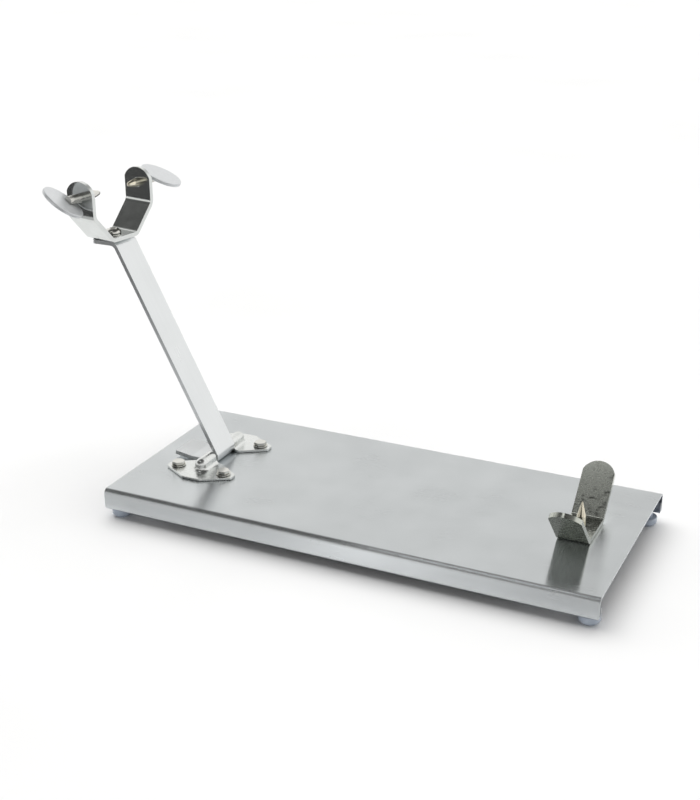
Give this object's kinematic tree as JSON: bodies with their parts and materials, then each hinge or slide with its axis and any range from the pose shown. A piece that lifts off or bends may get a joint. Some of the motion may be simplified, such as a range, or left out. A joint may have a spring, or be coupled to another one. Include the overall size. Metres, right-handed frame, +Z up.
{
  "type": "ham holder stand",
  "caption": "Folded steel stand with a tilting arm, a swivelling two-screw clamp head and a spiked V cradle, for holding a leg of ham while it is carved.",
  "frame": {"origin": "on the supporting surface, under the centre of the whole stand's bounding box", "axes": "+X along the base from the arm towards the cradle, +Y towards the back edge, +Z up"},
  "size_m": [0.5091, 0.2, 0.2788],
  "materials": {
    "brushed_steel": "brushed along the length",
    "polished_steel": "polished",
    "fastener_steel": "bright",
    "turned_steel": "turned, slightly warm",
    "foot_rubber": "smooth, glossy"
  },
  "bodies": {
    "base": {"base_plate": "brushed_steel", "foot_front_left": "foot_rubber", "foot_front_right": "foot_rubber", "foot_back_left": "foot_rubber", "foot_back_right": "foot_rubber", "stud_front_left": "fastener_steel", "stud_front_right": "fastener_steel", "stud_back_left": "fastener_steel", "stud_back_right": "fastener_steel", "hinge_clip_front": "polished_steel", "hinge_clip_back": "polished_steel", "hinge_bolt_front_left": "fastener_steel", "hinge_bolt_front_right": "fastener_steel", "hinge_bolt_back_left": "fastener_steel", "hinge_bolt_back_right": "fastener_steel", "hinge_washer_front_left": "fastener_steel", "hinge_washer_front_right": "fastener_steel", "hinge_washer_back_left": "fastener_steel", "hinge_washer_back_right": "fastener_steel", "hinge_under_washer_front_left": "fastener_steel", "hinge_under_washer_front_right": "fastener_steel", "hinge_under_washer_back_left": "fastener_steel", "hinge_under_washer_back_right": "fastener_steel", "hinge_nut_front_left": "fastener_steel", "hinge_nut_front_right": "fastener_steel", "hinge_nut_back_left": "fastener_steel", "hinge_nut_back_right": "fastener_steel", "cradle": "polished_steel", "cradle_spike": "turned_steel", "cradle_washer": "fastener_steel", "cradle_nut": "fastener_steel"},
    "arm": {"arm": "brushed_steel", "pivot_rod": "fastener_steel", "head_bolt": "fastener_steel"},
    "head": {"yoke": "polished_steel"},
    "front_point": {"front_clamp_point": "turned_steel"},
    "front_screw": {"front_clamp_rod": "turned_steel", "front_clamp_grip": "polished_steel"},
    "back_point": {"back_clamp_point": "turned_steel"},
    "back_screw": {"back_clamp_rod": "turned_steel", "back_clamp_grip": "polished_steel"}
  },
  "joints": [
    {"name": "arm_tilt", "type": "hinge", "parent": "base", "child": "arm", "pos_m": [-0.1265, 0, 0.0342], "axis": [0, 1, 0], "range_deg": [0, 90]},
    {"name": "head_swivel", "type": "hinge", "parent": "arm", "child": "head", "pos_m": [-0.2275, 0, 0.2222], "axis": [0, 0, 1], "continuous": true},
    {"name": "front_screw_travel", "type": "slide", "parent": "head", "child": "front_point", "axis": [0.1564, 0.9877, 0], "range_m": [-0.018, 0.0006]},
    {"name": "front_screw_turn", "type": "hinge", "parent": "front_point", "child": "front_screw", "pos_m": [-0.2275, 0, 0.265], "axis": [0.1564, 0.9877, 0], "range_deg": [-5040, 144]},
    {"name": "back_screw_travel", "type": "slide", "parent": "head", "child": "back_point", "axis": [-0.1564, -0.9877, 0], "range_m": [-0.0105, 0.008]},
    {"name": "back_screw_turn", "type": "hinge", "parent": "back_point", "child": "back_screw", "pos_m": [-0.2275, 0, 0.265], "axis": [-0.1564, -0.9877, 0], "range_deg": [-2880, 2160]}
  ],
  "couplings": [
    {"joint": "front_screw_travel", "follows": "front_screw_turn", "m_per_rad": 0.00019894},
    {"joint": "back_screw_travel", "follows": "back_screw_turn", "m_per_rad": 0.00019894}
  ]
}
